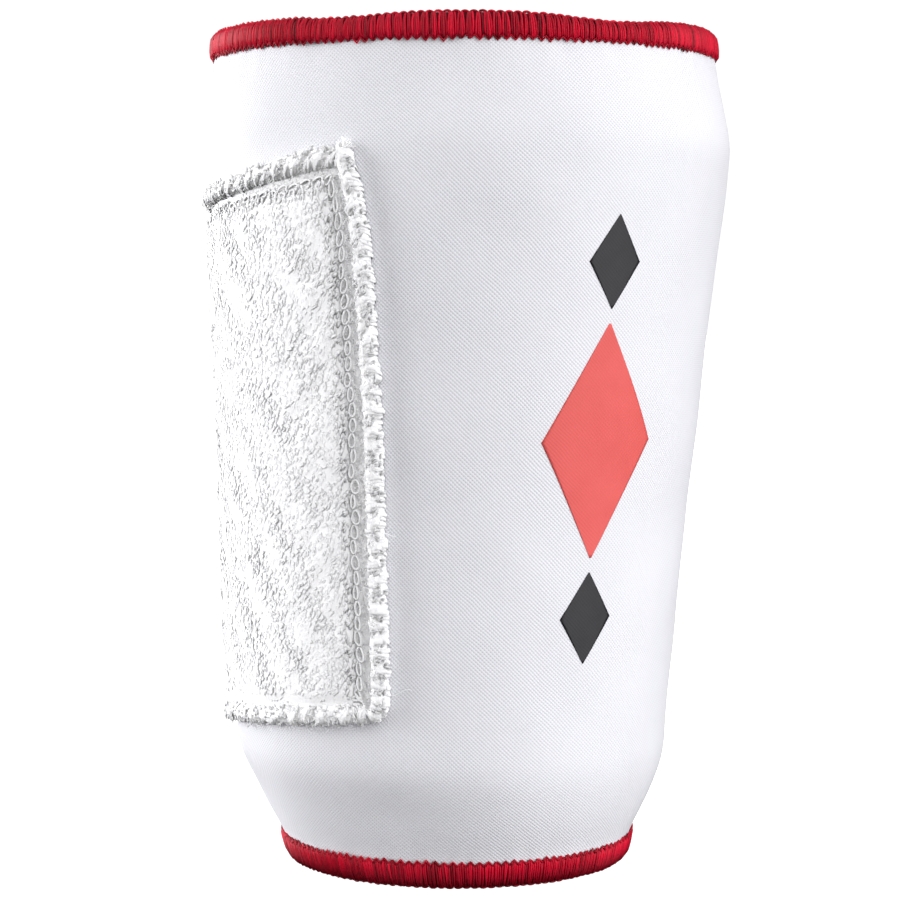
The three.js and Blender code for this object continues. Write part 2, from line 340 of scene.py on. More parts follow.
def cloth_mesh(name, columns, rows, place, uv=None, closed=False):
    """A grid bent by place(u, v), with u and v from 0 to 1. Its seams are closed where its ends meet."""
    shape = bmesh.new()
    shape.loops.layers.uv.new("Cloth")
    bmesh.ops.create_grid(shape, x_segments=columns, y_segments=rows, size=0.5, calc_uvs=True)
    mesh = bpy.data.meshes.new(name)
    shape.to_mesh(mesh)
    flat = np.zeros(len(mesh.vertices) * 3)
    mesh.vertices.foreach_get("co", flat)
    across, up = flat.reshape(-1, 3)[:, 0] + 0.5, flat.reshape(-1, 3)[:, 1] + 0.5
    mesh.vertices.foreach_set("co", place(across, up).ravel())
    if uv is not None:
        corner = np.zeros(len(mesh.loops), int)
        mesh.loops.foreach_get("vertex_index", corner)
        mesh.uv_layers[0].uv.foreach_set("vector", uv(across, up)[corner].astype(np.float32).ravel())
    shape.clear()
    shape.from_mesh(mesh)
    bmesh.ops.remove_doubles(shape, verts=shape.verts, dist=2e-6)
    if closed:
        bmesh.ops.recalc_face_normals(shape, faces=shape.faces)
    for face in shape.faces:
        face.smooth = True
    shape.to_mesh(mesh)
    shape.free()
    return mesh


def tubes(paths, radii, sides, across, flat=1.0):
    """Closed tubes along many paths at once, pressed flat along across: their points, and their faces as
    rows of corners."""
    count, steps = paths.shape[:2]
    along = np.gradient(paths, axis=1)
    along /= np.linalg.norm(along, axis=-1, keepdims=True)
    across = np.broadcast_to(across, paths.shape)
    first = across - (across * along).sum(-1, keepdims=True) * along
    first /= np.linalg.norm(first, axis=-1, keepdims=True)
    second = np.cross(along, first)
    angle = 2 * np.pi * np.arange(sides) / sides
    ring = first[:, :, None] * flat * np.cos(angle)[:, None] + second[:, :, None] * np.sin(angle)[:, None]
    radii = np.broadcast_to(radii, (count, steps))
    points = paths[:, :, None] + radii[:, :, None, None] * ring
    index = np.arange(count * steps * sides).reshape(count, steps, sides)
    turned = np.roll(index, -1, axis=2)
    walls = np.stack((index[:, :-1], turned[:, :-1], turned[:, 1:], index[:, 1:]), axis=-1).reshape(-1, 4)
    caps = np.concatenate((index[:, 0, ::-1], index[:, -1]))
    return points.reshape(-1, 3), [walls, caps]


def joined(name, parts, shades, naps=None):
    """One mesh from several parts of points and faces. Each point carries its shade and, where naps are
    given, the way that the cloth under it faces."""
    mesh = bpy.data.meshes.new(name)
    points = np.concatenate([part[0] for part in parts])
    corners, sizes, offset = [], [], 0
    for part_points, groups in parts:
        for faces in groups:
            corners.append((faces + offset).ravel())
            sizes.append(np.full(len(faces), faces.shape[1]))
        offset += len(part_points)
    corners, sizes = np.concatenate(corners), np.concatenate(sizes)
    mesh.vertices.add(len(points))
    mesh.vertices.foreach_set("co", points.astype(np.float32).ravel())
    mesh.loops.add(len(corners))
    mesh.loops.foreach_set("vertex_index", corners.astype(np.int32))
    mesh.polygons.add(len(sizes))
    starts = np.concatenate(([0], np.cumsum(sizes)[:-1]))
    mesh.polygons.foreach_set("loop_start", starts.astype(np.int32))
    mesh.update(calc_edges=True)
    mesh.validate()
    mesh.polygons.foreach_set("use_smooth", np.ones(len(sizes), bool))
    layer = mesh.attributes.new("shade", "FLOAT", "POINT")
    layer.data.foreach_set("value", np.concatenate(shades).astype(np.float32))
    if naps is not None:
        layer = mesh.attributes.new("nap", "FLOAT_VECTOR", "POINT")
        layer.data.foreach_set("vector", np.concatenate(naps).astype(np.float32).ravel())
    return mesh


def unit(vectors):
    return vectors / np.linalg.norm(vectors, axis=-1, keepdims=True)


def naps_for(vectors, part):
    """One direction for each tube, or for each step along each tube, spread over its points."""
    vectors = unit(vectors).reshape(-1, 3)
    return np.repeat(vectors, len(part[0]) // len(vectors), axis=0)


def shades_for(values, part):
    """One value for each tube, or for each step along each tube, spread over its points."""
    return np.repeat(np.ravel(values), len(part[0]) // np.size(values))


def even_shade(mesh, value):
    layer = mesh.attributes.new("shade", "FLOAT", "POINT")
    layer.data.foreach_set("value", np.full(len(mesh.vertices), value, np.float32))


def pile(place, first, second, base, lean, reach, width, rise, yarn, random):
    """Terry loops: hairpins that lean over from their feet, in a cloth's own two directions."""
    count = len(first)
    loop = np.linspace(0, 1, 6)
    arch = np.sin(np.pi * loop)
    swing = np.sin(2 * np.pi * loop) * random.normal(0, 0.4, (count, 1))
    forward = reach[:, None] * arch ** 0.8
    side = width[:, None] * (loop - 0.5 + 0.4 * swing)
    paths = place(
        first[:, None] + forward * np.cos(lean)[:, None] - side * np.sin(lean)[:, None],
        second[:, None] + forward * np.sin(lean)[:, None] + side * np.cos(lean)[:, None],
        base[:, None] + rise[:, None] * arch,
    )
    radii = yarn * random.uniform(0.8, 1.15, (count, 1)) * (0.7 + 0.3 * arch)
    return paths, radii


def new_piece(name, mesh, materials, slot, nodes=()):
    """Links a finished mesh, rides it on the guard's body and lets it stand for the CAD nodes given."""
    piece = bpy.data.objects.new(name, mesh)
    bpy.context.scene.collection.objects.link(piece)
    for material in materials:
        mesh.materials.append(material)
    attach(piece, "root")
    if nodes:
        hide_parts(*nodes)
    return piece


def thicken(piece, thickness, inner_material=0):
    """Gives cloth its thickness, inwards from the face that is drawn."""
    solid = piece.modifiers.new("Cloth thickness", "SOLIDIFY")
    solid.thickness = thickness
    solid.offset = -1.0
    solid.material_offset = inner_material


# Materials


class Nodes:
    """A node tree, built by short calls. A socket's value is a number, a colour or an output."""

    def __init__(self, tree):
        self.tree = tree

    def node(self, kind, sockets=(), **attributes):
        made = self.tree.nodes.new(kind)
        for key, value in attributes.items():
            setattr(made, key, value)
        for key, value in dict(sockets).items():
            self.set(made, key, value)
        return made

    def set(self, node, key, value):
        if isinstance(value, bpy.types.NodeSocket):
            self.tree.links.new(value, node.inputs[key])
        else:
            node.inputs[key].default_value = value

    def math(self, operation, first, second=0.0, third=0.0, clamp=False):
        sockets = {0: first, 1: second, 2: third}
        return self.node("ShaderNodeMath", sockets, operation=operation, use_clamp=clamp).outputs[0]

    def vector(self, operation, first, second=None):
        """Vector maths. second is a number for SCALE, and a vector otherwise."""
        sockets = {0: first}
        if second is not None:
            sockets["Scale" if operation == "SCALE" else 1] = second
        made = self.node("ShaderNodeVectorMath", sockets, operation=operation)
        return made.outputs["Value" if operation == "DOT_PRODUCT" else "Vector"]

    def mix(self, share, first, second):
        made = self.node("ShaderNodeMix", {0: share}, data_type="RGBA")
        for key, value in ((6, first), (7, second)):
            value = (*value, 1.0) if isinstance(value, (tuple, list)) and len(value) == 3 else value
            self.set(made, key, value)
        return made.outputs[2]

    def noise(self, scale, detail=3.0, vector=None):
        sockets = {"Scale": scale, "Detail": detail, "Vector": vector or self.place()}
        return self.node("ShaderNodeTexNoise", sockets).outputs["Fac"]

    def place(self):
        return self.node("ShaderNodeTexCoord").outputs["Object"]

    def map(self, value, low, high, new_low, new_high):
        sockets = {0: value, 1: low, 2: high, 3: new_low, 4: new_high}
        return self.node("ShaderNodeMapRange", sockets).outputs[0]

    def bump(self, height, distance, strength=1.0, normal=None):
        sockets = {"Height": height, "Distance": distance, "Strength": strength}
        if normal is not None:
            sockets["Normal"] = normal
        return self.node("ShaderNodeBump", sockets).outputs[0]


class Finish(Nodes):
    """A piece's material, with the nodes of its surface."""

    def __init__(self, name):
        self.material = bpy.data.materials.new(name)
        self.material.use_nodes = True
        super().__init__(self.material.node_tree)
        self.surface = self.tree.nodes["Principled BSDF"]

    def finish(self, colour_value, roughness, normal=None, **sockets):
        if isinstance(colour_value, (tuple, list)):
            colour_value = (*colour_value, 1.0)
        self.set(self.surface, "Base Color", colour_value)
        self.set(self.surface, "Roughness", roughness)
        if normal is not None:
            self.set(self.surface, "Normal", normal)
        for name, value in sockets.items():
            self.set(self.surface, name.replace("_", " "), value)
        return self.material


def knit_lattice(finish, pitch):
    """The knit's staggered holes: 1 in a hole and -1 between, from the cloth's own map in metres."""
    flat = finish.node("ShaderNodeUVMap", uv_map="Cloth").outputs[0]
    wander = finish.node("ShaderNodeTexNoise", {"Vector": flat, "Scale": 140.0, "Detail": 1.0})
    centred = finish.vector("SUBTRACT", wander.outputs["Color"], (0.5, 0.5, 0.5))
    spot = finish.vector("ADD", flat, finish.vector("SCALE", centred, 0.6 * MM))
    parts = finish.node("ShaderNodeSeparateXYZ", {0: spot}).outputs
    turns = [finish.math("MULTIPLY", part, 2 * math.pi / pitch) for part in parts[:2]]
    waves = [finish.math("COSINE", turn) for turn in turns]
    return finish.math("MULTIPLY", *waves), flat


def knit_material():
    sizes = settings().knit
    finish = Finish("White foam-backed knit")
    lattice, flat = knit_lattice(finish, sizes.pitch)
    depth = finish.noise(55.0, 2.0, flat)
    open_share = finish.map(lattice, 0.15, 0.9, 0.0, 1.0)
    hole = finish.math("MULTIPLY", open_share, finish.map(depth, 0.3, 0.7, 0.4, 1.0))
    face = finish.mix(finish.math("MULTIPLY", hole, 0.62), tuple(sizes.white), tuple(sizes.hollow))
    yarn = finish.bump(finish.math("MULTIPLY", lattice, -1.0), 0.08 * MM, 0.6)
    creases = finish.bump(finish.noise(90.0, 3.0), 0.22 * MM, 0.5, yarn)
    return finish.finish(
        face, 0.86, creases, Sheen_Weight=0.12, Sheen_Roughness=0.5, Specular_IOR_Level=0.22,
    )


def lining_material():
    sizes = settings().knit
    finish = Finish("Brushed jersey lining")
    lattice, _ = knit_lattice(finish, sizes.pitch * 1.6)
    fleece = finish.noise(900.0, 3.0)
    face = finish.mix(finish.map(fleece, 0.3, 0.7, 0.0, 0.35), tuple(sizes.lining), (0.62, 0.62, 0.66))
    yarn = finish.bump(finish.math("MULTIPLY_ADD", lattice, -0.5, fleece), 0.09 * MM, 0.5)
    return finish.finish(face, 0.93, yarn, Sheen_Weight=0.2, Sheen_Roughness=0.6, Specular_IOR_Level=0.15)


def thread_material():
    sizes = settings().edging
    finish = Finish("Red overlock thread")
    shade = finish.node("ShaderNodeAttribute", attribute_name="shade").outputs["Fac"]
    fibre = finish.noise(2600.0, 2.0)
    wear = finish.map(fibre, 0.3, 0.7, -0.5, 0.5)
    share = finish.math("MULTIPLY_ADD", wear, 0.35, shade, clamp=True)
    # The red lies between the thread in the shade and in the light, set by the shade attribute: partly each
    # strand's own random tone, partly painted shade from make_rim.
    face = finish.mix(share, tuple(sizes.deep), tuple(sizes.bright))
    ridges = finish.bump(fibre, 0.06 * MM, 0.5)
    return finish.finish(face, 0.45, ridges, Specular_IOR_Level=0.2)


# The thread under the stitches is painted near-black: painted shade in the gaps between the strands.
def core_material():
    finish = Finish("Red thread under the stitches painted in shade")
    fibre = finish.noise(1400.0, 2.0)
    face = finish.mix(fibre, (0.05, 0.0004, 0.003), (0.15, 0.001, 0.008))
    return finish.finish(face, 0.8, finish.bump(fibre, 0.1 * MM, 0.5), Specular_IOR_Level=0.15)


def towel_material(name, grey=0.94):
    """White yarn. Where it carries a nap, its shading leans that way, as a deep soft pile's does."""
    sizes = settings().patch
    nap_pull = 3.4
    finish = Finish(name)
    shade = finish.node("ShaderNodeAttribute", attribute_name="shade").outputs["Fac"]
    fibre = finish.noise(1800.0, 2.0)
    face = finish.mix(shade, (grey, grey, grey * 1.01), tuple(sizes.white))
    nap = finish.node("ShaderNodeAttribute", attribute_name="nap").outputs["Vector"]
    nap = finish.node(
        "ShaderNodeVectorTransform", {0: nap}, vector_type="VECTOR",
        convert_from="OBJECT", convert_to="WORLD",
    ).outputs[0]
    facing = finish.node("ShaderNodeNewGeometry").outputs["Normal"]
    facing = finish.vector("ADD", facing, finish.vector("SCALE", nap, nap_pull))
    fluff = finish.bump(fibre, 0.1 * MM, 0.3, finish.vector("NORMALIZE", facing))
    return finish.finish(
        face, 0.95, fluff, Sheen_Weight=0.15, Sheen_Roughness=0.8, Specular_IOR_Level=0.05,
    )


def film_material(name, face, edge):
    """Transfer film, through which the knit's stitches just show."""
    finish = Finish(name)
    lattice, flat = knit_lattice(finish, settings().knit.pitch)
    clouds = finish.noise(160.0, 3.0, flat)
    tone = finish.mix(finish.map(clouds, 0.3, 0.7, 0.0, 0.5), face, edge)
    yarn = finish.bump(finish.math("MULTIPLY", lattice, -1.0), 0.04 * MM, 0.45)
    soft = finish.map(clouds, 0.2, 0.8, 0.34, 0.48)
    return finish.finish(tone, soft, yarn, Specular_IOR_Level=0.3)


# The patch's flat cloth and its outline

GROUND_INSET = 2.6 * MM
# Stations of the outline, which has ten round each corner.
CORNER_TIP, FRONT_START, SCALLOP_START, SCALLOP_END = 15, 20, 24, 37


def patch_height():
    sizes = settings().patch
    return LENGTH * (sizes.high - sizes.low)


def patch_place(across, up, depth):
    """A point of the flat patch, wrapped round the sleeve. across is forwards and up is upwards from its
    middle."""
    sizes = settings().patch
    share = up / patch_height() + 0.5
    corner = np.clip((share - 0.8) / 0.2, 0, 1) ** 2 * smooth(across / (sizes.width / 2), 0.2, 1.0)
    share = share + sizes.peak / patch_height() * corner
    back = sizes.width / 2 - across + sizes.lean_in * corner
    front_height = LENGTH * (sizes.low + (sizes.high - sizes.low) * share)
    front_bearing = sizes.low_bearing + (sizes.high_bearing - sizes.low_bearing) * share
    front_bearing = front_bearing + sizes.bow * 4 * share * (1 - share)
    height = front_height - back * math.sin(math.radians(sizes.tilt))
    bearing = front_bearing - np.degrees(back / WALL.radius(height))
    return WALL.place(bearing, height, sizes.gap + depth)


class Outline:
    """The patch's outline with its rounded corners, walked from the middle of its back edge."""

    def __init__(self):
        sizes = settings().patch
        self.half_across, self.half_up = sizes.width / 2, patch_height() / 2
        back, top, low = sizes.corner_back, sizes.corner_top, sizes.corner_low
        stations = [(-1, 0, 180.0, back)]
        corners = ((-1, 1, 180, back), (1, 1, 90, top), (1, -1, 0, low), (-1, -1, -90, back))
        for side, level, start, radius in corners:
            stations += [(side, level, angle, radius) for angle in np.linspace(start, start - 90, 10)]
        stations.append((-1, 0, -180.0, back))
        self.side, self.level, angle, self.radius = np.array(stations).T
        self.cos, self.sin = np.cos(np.radians(angle)), np.sin(np.radians(angle))
        spots = np.stack(self._spot(np.arange(len(stations)), 0.0), axis=1)
        self.walk = np.concatenate(([0], np.cumsum(np.linalg.norm(np.diff(spots, axis=0), axis=1))))
        self.perimeter = self.walk[-1]
        across = np.where(self.cos > 0, sizes.hem_front, sizes.hem_top) * self.cos ** 2
        self.hems = across + np.where(self.sin > 0, sizes.hem_top, sizes.hem_low) * self.sin ** 2
        self.rises = sizes.hem_rise * (1 - 0.22 * self.sin ** 2)
        self.tucks = np.where(self.sin < 0, 0.9 * MM, 0.1 * MM) * self.sin ** 2

    def _spot(self, index, away):
        """A station moved inwards, with the corner's radius shrinking as a mitre's does."""
        inner = np.maximum(self.radius[index] - away, 0.4 * MM)
        across = self.side[index] * (self.half_across - away - inner) + inner * self.cos[index]
        up = self.level[index] * (self.half_up - away - inner) + inner * self.sin[index]
        return across, up

    def hem(self, along):
        return np.interp(np.mod(along, self.perimeter), self.walk, self.hems)

    def rise(self, along):
        return np.interp(np.mod(along, self.perimeter), self.walk, self.rises)

    def tuck(self, along):
        """How far the hem's edge lies inside the outline."""
        return np.interp(np.mod(along, self.perimeter), self.walk, self.tucks)

    def outward(self, along, away, paths):
        """The way out of the hem's roll at some points, and the soft way that its pile faces there."""
        middle = self.place(along, 0.5 * self.hem(along), 0.3 * self.rise(along))
        roll = unit(paths - middle)
        wall = unit(self.place(along, away, 1 * MM) - self.place(along, away, 0.0))
        return roll, roll + 1.2 * wall

    def front(self, up):
        """How far along the walk a height of the front edge lies."""
        return self.walk[FRONT_START] + self.half_up - self.radius[FRONT_START] - up

    def place(self, along, away, depth):
        """along in metres round the outline, away inwards from it."""
        along, away = np.broadcast_arrays(np.mod(along, self.perimeter), away)
        index = np.clip(np.searchsorted(self.walk, along, side="right") - 1, 0, len(self.walk) - 2)
        share = (along - self.walk[index]) / (self.walk[index + 1] - self.walk[index])
        across, up = self._spot(index, away)
        next_across, next_up = self._spot(index + 1, away)
        return patch_place(across + (next_across - across) * share, up + (next_up - up) * share, depth)


# Sleeve


class GUARD_OT_sleeve(bpy.types.Operator):
    """Makes the sleeve of foam-backed knit, with its wall and its lining"""

    bl_idname = "arm_guard.sleeve"
    bl_label = "Sleeve"

    def execute(self, context):
        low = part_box("sleeve")[0].z
        reach = LENGTH - 2 * low

        def place(u, v):
            bearing, height = 360 * u - 180, low + reach * v
            return WALL.place(bearing, height, cloth_rise(bearing, height))

        def flat(u, v):
            height = low + reach * v
            return np.stack((np.radians(360 * u - 180) * WALL.radius(height), height), axis=1)

        mesh = cloth_mesh("sleeve_cloth", 196, 104, place, flat)
        materials = [knit_material(), lining_material()]
        piece = new_piece("sleeve_cloth", mesh, materials, "knit_white", ["sleeve"])
        thicken(piece, settings().knit.wall, 1)
        return {"FINISHED"}


class GUARD_OT_pad(bpy.types.Operator):
    """Makes the pad's lined cover against the inside of the wall, with its sewn border groove"""

    bl_idname = "arm_guard.pad"
    bl_label = "Pad"

    def execute(self, context):
        low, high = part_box("guard_pad")
        from_bearing, to_bearing = -50.0, 118.0
        middle, half_turn = (from_bearing + to_bearing) / 2, (to_bearing - from_bearing) / 2
        middle_height, half_height = (low.z + high.z) / 2, (high.z - low.z) / 2
        wall = settings().knit.wall + 0.3 * MM
        random = np.random.default_rng(SEEDS["pad"])
        waves = [(random.integers(2, 7), random.uniform(1, 5), random.uniform(0, 6.28)) for _ in range(8)]
        ring = 0.06

        def spot(across, up):
            bearing = middle + half_turn * across * (1 - 0.1 * up ** 6)
            return bearing, middle_height + half_height * up * (1 - 0.1 * across ** 6)

        def thickness(across, up):
            swell = (1 - np.abs(across) ** 6) * (1 - np.abs(up) ** 6)
            from_side = half_turn * 0.85 * MM * (1 - np.abs(across))
            from_edge = np.minimum(from_side, half_height * (1 - np.abs(up)))
            sewn = 1.3 * MM * np.exp(-(((from_edge - 4 * MM) / (1.4 * MM)) ** 2))
            soft = sum(np.cos(a * 3 * across + b * 2 * up + c) for a, b, c in waves) * 0.05 * MM
            return (3.5 + 4.5 * swell) * MM - sewn + soft * swell

        def place(u, v):
            across, up = 2 * u - 1, 2 * v - 1
            face = np.clip((1 - np.abs(across)) / ring, 0, 1) * np.clip((1 - np.abs(up)) / ring, 0, 1)
            across, up = (np.clip(share / (1 - ring), -1, 1) for share in (across, up))
            bearing, height = spot(across, up)
            rise = thickness(across, up) * np.sqrt(np.clip(face * 2, 0, 1))
            return WALL.place(bearing, height, -wall - rise)

        def flat(u, v):
            bearing, height = spot(2 * u - 1, 2 * v - 1)
            return np.stack((np.radians(bearing) * WALL.radius(height), height), axis=1)

        shape = bmesh.new()
        mesh = cloth_mesh("pad_cover", 96, 80, place, flat)
        shape.from_mesh(mesh)
        bmesh.ops.reverse_faces(shape, faces=shape.faces)
        made = bmesh.ops.extrude_face_region(shape, geom=shape.faces[:], use_keep_orig=True)
        back = [item for item in made["geom"] if isinstance(item, bmesh.types.BMVert)]
        for vertex in back:
            bearing = math.degrees(math.atan2(vertex.co.x, -vertex.co.y))
            vertex.co = Vector(WALL.place(bearing, vertex.co.z, -wall + 0.05 * MM))
        bmesh.ops.recalc_face_normals(shape, faces=shape.faces)
        shape.to_mesh(mesh)
        shape.free()
        piece = new_piece("pad_cover", mesh, [lining_material()], "lining_white", ["guard_pad"])
        return {"FINISHED"}


# Overlocked rims


RIM_SECTION = (
    # depth, away from the rim, both in millimetres
    (0.10, 5.35),
    (0.70, 5.05),
    (1.00, 4.20),
    (1.12, 2.70),
    (1.00, 1.45),
    (0.60, 0.80),
    (-0.40, 0.54),
    (-1.50, 0.48),
    (-2.60, 0.54),
    (-3.60, 0.80),
    (-4.00, 1.45),
    (-4.12, 2.70),
    (-4.00, 4.20),
    (-3.70, 5.05),
    (-3.10, 5.35),
)


def rim_place(top):
    def place(turn, away, depth):
        return WALL.place(360 * turn, LENGTH - away if top else away, depth)
    return place


class GUARD_OT_edging(bpy.types.Operator):
    """Overlocks both rims in red thread: strands over the rim, knots along it and a zigzag on the cloth"""

    bl_idname = "arm_guard.edging"
    bl_label = "Overlocked rims"

    def execute(self, context):
        thread, core = thread_material(), core_material()
        for top in (True, False):
            self.make_rim("top" if top else "bottom", rim_place(top), top, thread, core)
        return {"FINISHED"}

    def make_rim(self, name, place, top, thread, core):
        sizes = settings().edging
        random = np.random.default_rng(SEEDS["edging"] + top)
        rim_radius = float(WALL.radius(LENGTH if top else 0.0))
        count = round(2 * math.pi * rim_radius / sizes.pitch)
        pitch = 1 / count

        section = curve_through(np.array(RIM_SECTION) * MM, 15)
        if not top:
            section[:, 0] = np.where(section[:, 0] > 0, section[:, 0] * 0.75, section[:, 0])
            section[:, 1] -= 0.35 * MM * (1 - smooth(section[:, 1], 1 * MM, 4 * MM))
        inner = section.copy()
        inwards = np.where(section[:, 0] > MID_WALL, -0.3, 0.3) * MM
        inner[:, 0] += inwards * smooth(section[:, 1], 0, 1 * MM)
        inner[:, 1] -= 0.04 * MM * (1 - smooth(section[:, 1], 0.6 * MM, 1.8 * MM))
        on_cloth = [(-2.9 * MM, 4.9 * MM), (MID_WALL, 4.8 * MM), (-0.1 * MM, 4.9 * MM)]
        loop = np.concatenate((inner, on_cloth, inner[:1]))
        walk = np.linspace(0, 1, len(loop))

        def core_place(u, v):
            depth, away = np.interp(v, walk, loop[:, 0]), np.interp(v, walk, loop[:, 1])
            return place(u, away, depth)

        mesh = cloth_mesh(f"{name}_overlock_core", 180, len(loop) - 1, core_place, closed=True)
        new_piece(f"{name}_overlock_core", mesh, [core], "thread_red")

        strands = sizes.strands
        order = (np.arange(strands) + 0.5) / strands - 0.5
        stitch = np.repeat(np.arange(count), strands)
        spread = np.tile(order, count)
        steps = len(section)
        share = np.linspace(0, 1, steps)
        outside = np.abs(1 - share * 2.0)
        fan = 0.56 + 0.46 * smooth(outside, 0.1, 0.6) - 0.40 * smooth(outside, 0.86, 1.0)
        slant = random.normal(0.0, 0.12, count)[stitch] + 0.14
        wobble = random.normal(0, 0.06, (count * strands, 1)) * np.sin(np.pi * share)
        turn = (stitch[:, None] + 0.5 + spread[:, None] * fan) * pitch
        turn = turn + (slant[:, None] * (share - 0.25) * 1.6 + wobble) * pitch
        lift = random.normal(0, 0.06, (count * strands, 1)) * MM
        depth = section[:, 0] + lift * np.where(section[:, 0] > MID_WALL, 1, -1)
        stray = random.normal(0, 0.06, (count * strands, 1)) * MM
        away = np.broadcast_to(section[:, 1], turn.shape) + stray
        pointed = sizes.tooth * (1 - 2 * np.abs(spread))[:, None] - 0.3 * MM
        away = away + pointed * smooth(section[:, 1], 4.0 * MM, 5.35 * MM)
        paths = place(turn, away, depth)
        radii = sizes.strand * (0.9 + 0.2 * random.random((count * strands, 1))) * np.ones(steps)
        across = place(turn + NUDGE, away, depth) - paths
        part = tubes(paths, radii, 4, across)
        shade = random.normal(0.66, 0.08, count)[stitch] + random.normal(0, 0.22, len(stitch))
        # Painted shade laid on each strand's own tone: a dark band just under the knots on the top rim, the
        # bottom band darkened towards the rim where it turns under towards the floor, and both bands
        # darkened where the strands meet the cloth.
        painted_knot_shadow = np.exp(-(((section[:, 1] - 1.2 * MM) / (0.5 * MM)) ** 2)) * (0.55 if top else 0.0)
        lit = (1 - painted_knot_shadow) * (1.0 if top else 0.12 + 0.88 * smooth(section[:, 1], 0.8 * MM, 4.0 * MM))
        lit = lit * (1 - 0.6 * smooth(section[:, 1], 4.7 * MM, 5.3 * MM))
        parts, shades = [part], [shades_for(np.clip(shade, 0, 1)[:, None] * lit, part)]

        # Knots along the rim, one for each stitch, leaning on the next.
        knot_steps = np.linspace(-0.5, 0.5, 5)
        knots = np.arange(count)
        length = 0.9 * pitch
        turn = (knots[:, None] + 0.02) * pitch + knot_steps * length
        rise = 0.16 * MM * np.cos(knot_steps * np.pi) - 0.10 * MM * knot_steps
        away = (0.46 if top else 0.24) * MM - rise + random.normal(0, 0.05, (count, 1)) * MM
        depth = np.full_like(turn, 0.1 * MM) + 0.35 * MM * knot_steps
        depth = depth + random.normal(0, 0.07, (count, 1)) * MM
        paths = place(turn, away, depth)
        radii = np.array((0.14, 0.25, 0.28, 0.25, 0.14)) * MM
        part = tubes(paths, radii, 6, np.array((0.0, 0.0, 1.0)))
        parts.append(part)
        # The bottom rim's knots are painted in shade, a fifth as bright as the top rim's.
        knot_shade = np.clip(random.normal(0.5, 0.15, count), 0, 1) * (1.0 if top else 0.2)
        shades.append(shades_for(knot_shade, part))

        # Zigzag thread on both faces of the cloth, a tooth for each stitch.
        zig = np.linspace(-0.5, 0.5, 7)
        for side, base in ((1, 0.28), (-1, -3.28)):
            turn = (knots[:, None] + 0.5) * pitch + zig * pitch * 1.04
            tooth = sizes.tooth * (1 + random.normal(0, 0.15, (count, 1)))
            away = 5.0 * MM + tooth * (1 - np.abs(zig) * 2) ** 0.9
            depth = np.broadcast_to((base + side * 0.35 * np.abs(zig) * 2) * MM, turn.shape)
            paths = place(turn, away, depth)
            part = tubes(paths, 0.19 * MM, 4, place(turn, away, depth + NUDGE) - paths)
            parts.append(part)
            shades.append(shades_for(np.clip(random.normal(0.45, 0.15, count), 0, 1), part))
        mesh = joined(f"{name}_overlock", parts, shades)
        new_piece(f"{name}_overlock", mesh, [thread], "thread_red", [f"{name}_edging"])


# Towelling patch


class GUARD_OT_towelling(bpy.types.Operator):
    """Lays the patch's ground cloth and grows its terry loops"""

    bl_idname = "arm_guard.towelling"
    bl_label = "Towelling"

    def execute(self, context):
        sizes = settings().patch
        yarn = towel_material("Terry yarn")
        cloth, lofted = 0.8 * MM, 1.3 * MM
        half_across = sizes.width / 2 - GROUND_INSET
        half_up = patch_height() / 2 - GROUND_INSET
        random = np.random.default_rng(SEEDS["pile"])
        finest = 2 * math.pi / (9 * MM)
        waves = [(random.uniform(-1, 1, 2) * finest, random.uniform(0, 6.28)) for _ in range(16)]

        def lie(across, up):
            """Ground cloth's height: sewn down in the valley, and gently uneven in the middle."""
            front, back = sizes.width / 2 - across, sizes.width / 2 + across
            above, below = patch_height() / 2 - up, patch_height() / 2 + up
            lift = np.minimum.reduce((
                smooth(front, sizes.chain + 0.4 * MM, sizes.chain + 3.0 * MM),
                smooth(back, sizes.chain, sizes.chain + 2.5 * MM),
                smooth(above, sizes.chain - 0.6 * MM, sizes.chain + 2.2 * MM),
                smooth(below, sizes.hem_low, sizes.hem_low + 2.4 * MM) * 0.5 + 0.5,
            ))
            bumps = sum(np.cos(k[0] * across + k[1] * up + phase) for k, phase in waves)
            return (cloth + lofted * lift) + bumps * 0.04 * MM * lift, lift

        def place(u, v):
            across, up = (2 * u - 1) * half_across, (2 * v - 1) * half_up
            return patch_place(across, up, lie(across, up)[0])

        def flat(u, v):
            return np.stack(((2 * u - 1) * half_across, (2 * v - 1) * half_up), axis=1)

        mesh = cloth_mesh("towel_ground", 90, 108, place, flat)
        even_shade(mesh, 1.0)
        ground = new_piece("towel_ground", mesh, [yarn], "towelling_white", ["towel_patch"])
        thicken(ground, cloth)

        pitch = sizes.loop_pitch
        columns, rows = int(2 * half_across / pitch), int(2 * half_up / (pitch * 1.08))
        u, v = np.meshgrid(np.arange(columns) + 0.5, np.arange(rows) + 0.5)
        u = u + 0.5 * (np.arange(rows)[:, None] % 2) - 0.25
        across = (u.ravel() / columns * 2 - 1) * half_across + random.normal(0, 0.22 * MM, u.size)
        up = (v.ravel() / rows * 2 - 1) * half_up + random.normal(0, 0.22 * MM, u.size)
        base, lift = lie(across, up)
        count = len(across)
        paths, radii = pile(
            patch_place, across, up, base - (0.05 + 0.03 * lift) * MM,
            lean=np.radians(random.normal(62, 22, count)),
            reach=random.uniform(0.8, 1.8, count) * (0.6 + 0.4 * lift) * MM,
            width=random.uniform(0.25, 0.5, count) * MM,
            rise=sizes.loop_rise * (0.5 + 0.5 * lift) * random.uniform(0.6, 1.3, count),
            yarn=sizes.loop_yarn, random=random,
        )
        shade = random.uniform(0.5, 1.0, count)
        outward = unit(patch_place(across, up, base + 1 * MM) - patch_place(across, up, base))
        tipped = (outward + random.normal(0, 0.15, outward.shape))[:, None]
        for name, half in (("terry_loops_upper", up > 0), ("terry_loops_lower", up <= 0)):
            part = tubes(paths[half], radii[half], 3, tipped[half], 0.30)
            mesh = joined(name, [part], [shades_for(shade[half], part)], [naps_for(outward[half], part)])
            new_piece(name, mesh, [yarn], "towelling_white")
        return {"FINISHED"}


